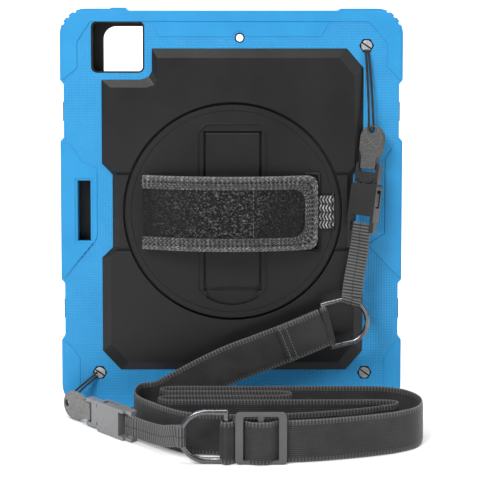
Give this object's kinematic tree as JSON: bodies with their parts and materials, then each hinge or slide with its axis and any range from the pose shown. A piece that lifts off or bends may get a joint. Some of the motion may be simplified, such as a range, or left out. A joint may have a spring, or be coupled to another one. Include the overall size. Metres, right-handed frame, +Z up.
{
  "type": "rugged tablet case",
  "caption": "Rugged tablet case with silicone sleeve, hard shell, turntable kickstand, padded hand strap and a clip-on shoulder strap with side-release buckles.",
  "frame": {"origin": "middle of the case's bottom edge, at the middle of its thickness with the hand strap", "axes": "+Z up the case, -Y out of the back that carries the hand strap, +Y out of the screen side, +X to the right when the back is seen"},
  "size_m": [0.2514, 0.1238, 0.2909],
  "materials": {
    "silicone_blue": "matte",
    "shell_black": "matte",
    "frame_black": "matte",
    "buckle_plastic": "satin",
    "slider_plastic": "satin",
    "ring_metal": "satin",
    "steel": "satin",
    "brass": "satin",
    "washer_plastic": "matte",
    "leather_black": "satin",
    "tab_leather": "satin",
    "strap_foam": "matte",
    "binding_fabric": "matte",
    "elastic_fabric": "matte",
    "webbing_fabric": "matte",
    "cord_fabric": "matte"
  },
  "bodies": {
    "case": {"silicone_sleeve": "silicone_blue", "back_shell": "shell_black", "corner_inserts": "brass", "corner_screws": "steel", "turntable_washer": "washer_plastic", "upper_corner_cord": "cord_fabric", "upper_tab": "tab_leather", "upper_buckle_plug": "buckle_plastic", "upper_buckle_socket": "buckle_plastic", "upper_link_webbing": "webbing_fabric", "upper_d_ring": "ring_metal", "shoulder_strap_climb": "webbing_fabric", "shoulder_strap_floor": "webbing_fabric", "strap_slider": "slider_plastic", "lower_d_ring": "ring_metal", "lower_link_webbing": "webbing_fabric", "lower_buckle_socket": "buckle_plastic", "lower_buckle_plug": "buckle_plastic", "lower_tab": "tab_leather", "lower_corner_cord": "cord_fabric"},
    "turntable": {"turntable_disc": "shell_black", "turntable_retainer": "steel", "retainer_screws": "steel", "kickstand_pin": "steel", "hand_strap_cover": "leather_black", "hand_strap_padding": "strap_foam", "hand_strap_binding": "binding_fabric", "hand_strap_left_tail": "leather_black", "hand_strap_right_tail": "webbing_fabric", "hand_strap_loop": "ring_metal", "hand_strap_elastic": "elastic_fabric", "strap_anchor_bar": "steel", "elastic_anchor_bar": "steel"},
    "front_frame": {"front_frame": "frame_black"},
    "power_button": {"power_button": "silicone_blue"},
    "volume_up_button": {"volume_up_button": "silicone_blue"},
    "volume_down_button": {"volume_down_button": "silicone_blue"},
    "kickstand": {"kickstand_leg": "shell_black"},
    "upper_arm_left": {"upper_buckle_arm_left": "buckle_plastic"},
    "upper_arm_right": {"upper_buckle_arm_right": "buckle_plastic"},
    "lower_arm_left": {"lower_buckle_arm_left": "buckle_plastic"},
    "lower_arm_right": {"lower_buckle_arm_right": "buckle_plastic"}
  },
  "joints": [
    {"name": "turntable_spin", "type": "hinge", "parent": "case", "child": "turntable", "pos_m": [0.0008, 0, 0.145], "axis": [0, -1, 0], "continuous": true},
    {"name": "kickstand_fold", "type": "hinge", "parent": "turntable", "child": "kickstand", "pos_m": [0.0008, 0.0009, 0.2001], "axis": [-1, 0, 0], "range_deg": [0, 40], "deforming": ["hand_strap_cover", "hand_strap_padding", "hand_strap_binding"]},
    {"name": "front_frame_lift", "type": "slide", "parent": "case", "child": "front_frame", "axis": [0, 1, 0], "range_m": [0, 0.03]},
    {"name": "power_press", "type": "slide", "parent": "case", "child": "power_button", "axis": [0, 0, -1], "range_m": [0, 0.0005], "stiffness_N_per_m": 500},
    {"name": "volume_up_press", "type": "slide", "parent": "case", "child": "volume_up_button", "axis": [1, 0, 0], "range_m": [0, 0.0005], "stiffness_N_per_m": 500},
    {"name": "volume_down_press", "type": "slide", "parent": "case", "child": "volume_down_button", "axis": [1, 0, 0], "range_m": [0, 0.0005], "stiffness_N_per_m": 500},
    {"name": "upper_right_pinch", "type": "hinge", "parent": "case", "child": "upper_arm_right", "pos_m": [0.10114, -0.01165, 0.16713], "axis": [0.6, 0.7835, -0.1613], "range_deg": [0, 6], "stiffness_Nm_per_rad": 0.4},
    {"name": "upper_left_pinch", "type": "hinge", "parent": "case", "child": "upper_arm_left", "pos_m": [0.09135, -0.00405, 0.16757], "axis": [-0.6, -0.7835, 0.1613], "range_deg": [0, 6], "stiffness_Nm_per_rad": 0.4},
    {"name": "lower_right_pinch", "type": "hinge", "parent": "case", "child": "lower_arm_right", "pos_m": [-0.08992, -0.03928, 0.0167], "axis": [0.7071, 0.7071, 0], "range_deg": [0, 6], "stiffness_Nm_per_rad": 0.4},
    {"name": "lower_left_pinch", "type": "hinge", "parent": "case", "child": "lower_arm_left", "pos_m": [-0.08992, -0.03928, 0.0043], "axis": [-0.7071, -0.7071, 0], "range_deg": [0, 6], "stiffness_Nm_per_rad": 0.4}
  ],
  "couplings": [
    {"joint": "upper_left_pinch", "follows": "upper_right_pinch", "ratio": 1},
    {"joint": "lower_left_pinch", "follows": "lower_right_pinch", "ratio": 1}
  ]
}
